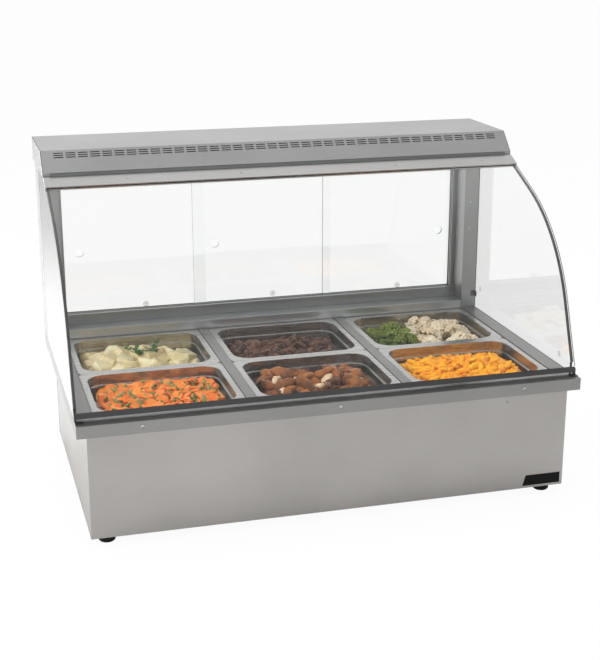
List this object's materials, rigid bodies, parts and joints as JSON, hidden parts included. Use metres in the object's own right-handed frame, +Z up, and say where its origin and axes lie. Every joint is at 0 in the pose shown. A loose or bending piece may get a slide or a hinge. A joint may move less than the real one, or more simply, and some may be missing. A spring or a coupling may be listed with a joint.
{
  "type": "hot food bar",
  "caption": "Counter-top hot food bar: heated well of lift-out pans on a stainless case, tilting curved front glass, glass ends, sliding rear doors and a vented lamp hood.",
  "frame": {"origin": "on the table, under the middle of the whole bar's box", "axes": "+X to the customer's right, +Y from the customer to the operator, +Z up"},
  "size_m": [1.116, 0.692, 0.757],
  "materials": {
    "case_steel": "fine brushed stainless steel",
    "deck_steel": "brushed stainless steel",
    "hood_steel": "brushed stainless steel",
    "pan_steel": "bright drawn stainless steel",
    "rail_aluminium": "satin anodised",
    "clear_glass": "clear toughened",
    "black_rubber": "matte",
    "bumper_rubber": "matte",
    "screw_steel": "bright",
    "plate_black": "satin black",
    "black_plastic": "fine moulded grain",
    "switch_plastic": "gloss",
    "pilot_lens": "amber lens",
    "terminal_plastic": "cream moulding",
    "lamp_quartz": "quartz tube with ceramic holders",
    "element_metal": "dark heat-tinted",
    "drain_brass": "nickel-plated",
    "lever_red": "dipped plastic",
    "potato_food": "cooked potato",
    "beef_food": "glazed stewed beef",
    "greens_food": "cooked florets",
    "carrot_food": "cooked carrot and beans",
    "chicken_food": "glazed roast chicken",
    "pumpkin_food": "cooked pumpkin"
  },
  "bodies": {
    "root": {"base_plate": "case_steel", "body_shell": "case_steel", "case_screws": "screw_steel", "control_panel": "case_steel", "deck": "deck_steel", "door_jambs": "rail_aluminium", "door_track_lower": "rail_aluminium", "door_track_upper": "rail_aluminium", "drain_pipe": "drain_brass", "drain_valve": "drain_brass", "element_brackets": "pan_steel", "element_front": "element_metal", "element_rear": "element_metal", "feet": "black_rubber", "front_plate": "plate_black", "glass_clips": "case_steel", "heat_lamps": "lamp_quartz", "hinge_brackets": "case_steel", "hood_cover": "hood_steel", "hood_end_left": "hood_steel", "hood_end_right": "hood_steel", "hood_seal": "black_rubber", "lamp_tray": "hood_steel", "pan_dividers": "deck_steel", "pilot_lamp": "pilot_lens", "post_left": "case_steel", "post_right": "case_steel", "power_inlet": "black_plastic", "rear_sill": "case_steel", "side_edge_seals": "black_rubber", "side_glass_left": "clear_glass", "side_glass_right": "clear_glass", "switch_bodies": "black_plastic", "terminal_block": "terminal_plastic", "thermostat": "black_plastic", "well_tank": "pan_steel"},
    "front_glass_frame": {"front_glass": "clear_glass", "glass_top_trim": "rail_aluminium", "glass_bottom_rail": "rail_aluminium", "trim_bumper": "bumper_rubber"},
    "door_left_pane": {"door_left": "clear_glass"},
    "door_middle_pane": {"door_middle": "clear_glass"},
    "door_right_pane": {"door_right": "clear_glass"},
    "pan_front_left_full": {"pan_front_left": "pan_steel", "carrots_and_beans": "carrot_food"},
    "pan_front_middle_full": {"pan_front_middle": "pan_steel", "roast_chicken": "chicken_food"},
    "pan_front_right_full": {"pan_front_right": "pan_steel", "pumpkin": "pumpkin_food"},
    "pan_rear_left_full": {"pan_rear_left": "pan_steel", "potatoes": "potato_food"},
    "pan_rear_middle_full": {"pan_rear_middle": "pan_steel", "beef_stew": "beef_food"},
    "pan_rear_right_full": {"pan_rear_right": "pan_steel", "broccoli_and_cauliflower": "greens_food"},
    "knob": {"thermostat_knob": "black_plastic"},
    "heat_rocker": {"heat_switch": "switch_plastic"},
    "lamp_rocker": {"lamp_switch": "switch_plastic"},
    "valve_lever": {"drain_lever": "lever_red"}
  },
  "joints": [
    {"name": "glass_tilt", "type": "hinge", "parent": "root", "child": "front_glass_frame", "pos_m": [0, -0.31285, 0.28903], "axis": [1, 0, 0], "range_deg": [0, 70]},
    {"name": "door_left_slide", "type": "slide", "parent": "root", "child": "door_left_pane", "axis": [1, 0, 0], "range_m": [0, 0.298]},
    {"name": "door_right_slide", "type": "slide", "parent": "root", "child": "door_right_pane", "axis": [1, 0, 0], "range_m": [-0.298, 0]},
    {"name": "door_middle_slide", "type": "slide", "parent": "root", "child": "door_middle_pane", "axis": [1, 0, 0], "range_m": [-0.325, 0.325]},
    {"name": "pan_front_left_lift", "type": "slide", "parent": "root", "child": "pan_front_left_full", "axis": [0, 0, 1], "range_m": [0, 0.06]},
    {"name": "pan_front_middle_lift", "type": "slide", "parent": "root", "child": "pan_front_middle_full", "axis": [0, 0, 1], "range_m": [0, 0.06]},
    {"name": "pan_front_right_lift", "type": "slide", "parent": "root", "child": "pan_front_right_full", "axis": [0, 0, 1], "range_m": [0, 0.06]},
    {"name": "pan_rear_left_lift", "type": "slide", "parent": "root", "child": "pan_rear_left_full", "axis": [0, 0, 1], "range_m": [0, 0.15]},
    {"name": "pan_rear_middle_lift", "type": "slide", "parent": "root", "child": "pan_rear_middle_full", "axis": [0, 0, 1], "range_m": [0, 0.15]},
    {"name": "pan_rear_right_lift", "type": "slide", "parent": "root", "child": "pan_rear_right_full", "axis": [0, 0, 1], "range_m": [0, 0.15]},
    {"name": "thermostat_turn", "type": "hinge", "parent": "root", "child": "knob", "pos_m": [-0.24, 0.3145, 0.104], "axis": [0, -1, 0], "range_deg": [0, 270]},
    {"name": "heat_switch_rock", "type": "hinge", "parent": "root", "child": "heat_rocker", "pos_m": [-0.33, 0.3125, 0.104], "axis": [-1, 0, 0], "range_deg": [0, 14]},
    {"name": "lamp_switch_rock", "type": "hinge", "parent": "root", "child": "lamp_rocker", "pos_m": [-0.38, 0.3125, 0.104], "axis": [-1, 0, 0], "range_deg": [0, 14]},
    {"name": "drain_lever_turn", "type": "hinge", "parent": "root", "child": "valve_lever", "pos_m": [0.42, 0.3265, 0.115], "axis": [0, 0, 1], "range_deg": [0, 90]}
  ]
}
